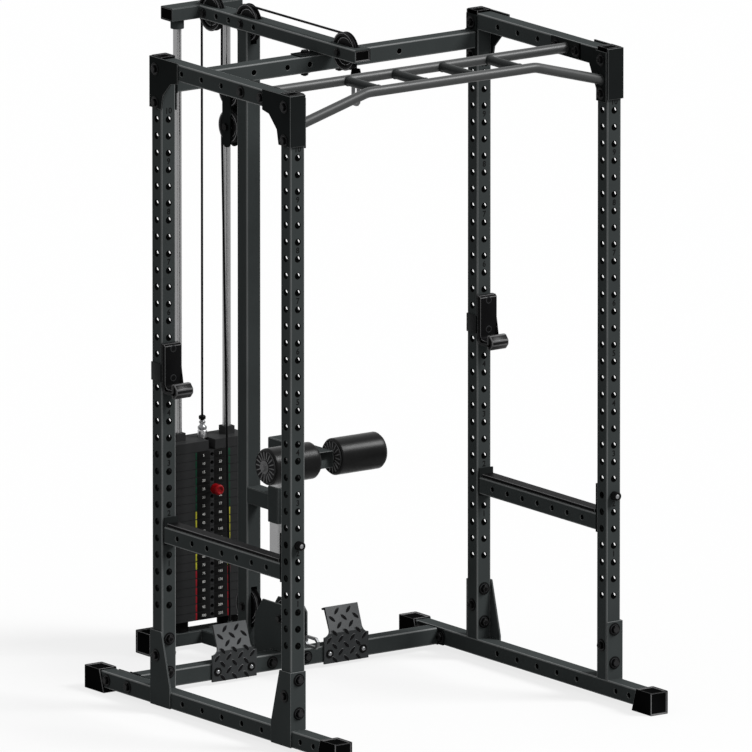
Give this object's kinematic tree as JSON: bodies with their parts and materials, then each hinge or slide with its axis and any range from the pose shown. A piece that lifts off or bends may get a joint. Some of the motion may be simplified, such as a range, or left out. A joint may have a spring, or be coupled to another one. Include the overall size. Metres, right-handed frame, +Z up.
{
  "type": "power cage",
  "caption": "Free-standing steel power cage with drilled uprights, pull-up grip, bar hooks, safety bars and a rear cable tower with a selectable weight stack.",
  "frame": {"origin": "middle of the footprint, on the floor", "axes": "+Z up, +Y from the open front to the cable tower at the rear, +X to the right seen from the front"},
  "size_m": [1.21, 1.564, 1.972],
  "materials": {
    "frame_paint": "satin charcoal powder coat",
    "grip_paint": "grey metallic coat",
    "cap_plastic": "matt black",
    "bolt_black": "black oxide",
    "hook_paint": "black coat with black plastic liners",
    "liner_plastic": "matt",
    "tread_steel": "raised tread pattern",
    "stack_iron": "satin black",
    "chrome": "polished",
    "nylon": "moulded",
    "cable_coat": "smooth coated steel rope",
    "buffer_rubber": "matt",
    "knob_red": "glossy",
    "foam": "closed-cell foam skin",
    "zinc": "zinc plated"
  },
  "bodies": {
    "frame": {"base_brackets": "frame_paint", "base_crossbar": "frame_paint", "base_rails": "frame_paint", "boom": "frame_paint", "crosspiece": "frame_paint", "foot_caps": "cap_plastic", "foot_plates": "tread_steel", "frame_bolts": "bolt_black", "grip_rungs": "frame_paint", "grip_tubes": "grip_paint", "guide_rods": "chrome", "low_cable": "cable_coat", "pulley_axles": "bolt_black", "resting_plates": "stack_iron", "roller_bracket": "frame_paint", "row_cheeks": "frame_paint", "safety_bar_left": "frame_paint", "safety_bar_right": "frame_paint", "safety_liners": "liner_plastic", "stack_buffers": "buffer_rubber", "top_brackets": "frame_paint", "top_cable": "cable_coat", "top_crossbar": "frame_paint", "top_rails": "frame_paint", "tower_base": "frame_paint", "tower_post": "frame_paint", "tube_plugs": "cap_plastic", "upright_front_left": "frame_paint", "upright_front_right": "frame_paint", "upright_rear_left": "frame_paint", "upright_rear_right": "frame_paint"},
    "stack": {"lifted_plates": "stack_iron", "head_plate": "stack_iron", "selector_rod": "chrome", "stack_cable_run": "cable_coat"},
    "selector": {"selector_pin": "knob_red"},
    "rear_wheel": {"rear_pulley": "nylon"},
    "mid_wheel": {"mid_pulley": "nylon"},
    "front_wheel": {"front_pulley": "nylon"},
    "low_wheel": {"low_pulley": "nylon"},
    "row_wheel": {"row_pulley": "nylon"},
    "floating_block": {"block_straps": "frame_paint", "block_cable_loops": "cable_coat", "block_cable_runs": "cable_coat", "low_cable_run": "cable_coat", "anchor_cable_run": "cable_coat"},
    "block_upper_wheel": {"block_upper_pulley": "nylon"},
    "block_lower_wheel": {"block_lower_pulley": "nylon"},
    "lat_end": {"lat_hook": "zinc"},
    "row_end": {"row_hook": "zinc"},
    "hook_left": {"bar_hook_left": "hook_paint"},
    "hook_right": {"bar_hook_right": "hook_paint"},
    "pin_left": {"safety_pin_left": "chrome"},
    "pin_right": {"safety_pin_right": "chrome"},
    "roller_carriage": {"roller_post": "chrome", "roller_arm": "frame_paint", "roller_axle": "bolt_black"},
    "foam_left": {"foam_roller_left": "foam"},
    "foam_right": {"foam_roller_right": "foam"},
    "pull_knob": {"sleeve_knob": "knob_red"}
  },
  "joints": [
    {"name": "stack_lift", "type": "slide", "parent": "frame", "child": "stack", "axis": [0, 0, 1], "range_m": [0, 1], "deforming": ["stack_cable_run"]},
    {"name": "selector_pull", "type": "slide", "parent": "stack", "child": "selector", "axis": [0, -1, 0], "range_m": [0, 0.03]},
    {"name": "rear_pulley_turn", "type": "hinge", "parent": "frame", "child": "rear_wheel", "pos_m": [0, 0.681, 1.915], "axis": [1, 0, 0], "range_deg": [0, 1130]},
    {"name": "mid_pulley_turn", "type": "hinge", "parent": "frame", "child": "mid_wheel", "pos_m": [0, 0.493, 1.915], "axis": [1, 0, 0], "range_deg": [0, 1130]},
    {"name": "front_pulley_turn", "type": "hinge", "parent": "frame", "child": "front_wheel", "pos_m": [0, 0.003, 1.915], "axis": [1, 0, 0], "range_deg": [0, 1130]},
    {"name": "lat_pull", "type": "slide", "parent": "frame", "child": "lat_end", "axis": [0, 0, -1], "range_m": [0, 1]},
    {"name": "block_drop", "type": "slide", "parent": "frame", "child": "floating_block", "axis": [0, 0, -1], "range_m": [0, 0.45], "deforming": ["block_cable_runs", "low_cable_run", "anchor_cable_run"]},
    {"name": "block_upper_turn", "type": "hinge", "parent": "floating_block", "child": "block_upper_wheel", "pos_m": [0, 0.587, 1.696], "axis": [1, 0, 0], "range_deg": [-1330, 0]},
    {"name": "block_lower_turn", "type": "hinge", "parent": "floating_block", "child": "block_lower_wheel", "pos_m": [0, 0.587, 1.588], "axis": [1, 0, 0], "range_deg": [0, 600]},
    {"name": "low_pulley_turn", "type": "hinge", "parent": "frame", "child": "low_wheel", "pos_m": [0, 0.493, 0.165], "axis": [1, 0, 0], "range_deg": [-1020, 0]},
    {"name": "row_pulley_turn", "type": "hinge", "parent": "frame", "child": "row_wheel", "pos_m": [0, 0.298, 0.165], "axis": [1, 0, 0], "range_deg": [-1020, 0]},
    {"name": "row_pull", "type": "slide", "parent": "frame", "child": "row_end", "axis": [0, -1, 0], "range_m": [0, 0.9]},
    {"name": "hook_left_out", "type": "slide", "parent": "frame", "child": "hook_left", "axis": [0, -1, 0], "range_m": [0, 0.045]},
    {"name": "hook_right_out", "type": "slide", "parent": "frame", "child": "hook_right", "axis": [0, -1, 0], "range_m": [0, 0.045]},
    {"name": "safety_pin_left_out", "type": "slide", "parent": "frame", "child": "pin_left", "axis": [0, -1, 0], "range_m": [0, 0.065]},
    {"name": "safety_pin_right_out", "type": "slide", "parent": "frame", "child": "pin_right", "axis": [0, -1, 0], "range_m": [0, 0.065]},
    {"name": "roller_height", "type": "slide", "parent": "frame", "child": "roller_carriage", "axis": [0, 0, 1], "range_m": [-0.07, 0.1]},
    {"name": "foam_left_turn", "type": "hinge", "parent": "roller_carriage", "child": "foam_left", "pos_m": [0, 0.126, 0.675], "axis": [1, 0, 0], "continuous": true},
    {"name": "foam_right_turn", "type": "hinge", "parent": "roller_carriage", "child": "foam_right", "pos_m": [0, 0.126, 0.675], "axis": [1, 0, 0], "continuous": true},
    {"name": "sleeve_knob_pull", "type": "slide", "parent": "frame", "child": "pull_knob", "axis": [1, 0, 0], "range_m": [0, 0.012], "stiffness_N_per_m": 400}
  ],
  "couplings": [
    {"joint": "rear_pulley_turn", "follows": "stack_lift", "rad_per_m": 19.608},
    {"joint": "mid_pulley_turn", "follows": "stack_lift", "rad_per_m": 19.608},
    {"joint": "front_pulley_turn", "follows": "stack_lift", "rad_per_m": 19.608},
    {"joint": "block_upper_turn", "follows": "stack_lift", "rad_per_m": -22.988},
    {"joint": "lat_pull", "follows": "stack_lift", "ratio": 1},
    {"joint": "block_lower_turn", "follows": "block_drop", "rad_per_m": 22.988},
    {"joint": "low_pulley_turn", "follows": "block_drop", "rad_per_m": -39.216},
    {"joint": "row_pulley_turn", "follows": "block_drop", "rad_per_m": -39.216},
    {"joint": "row_pull", "follows": "block_drop", "ratio": 2}
  ]
}
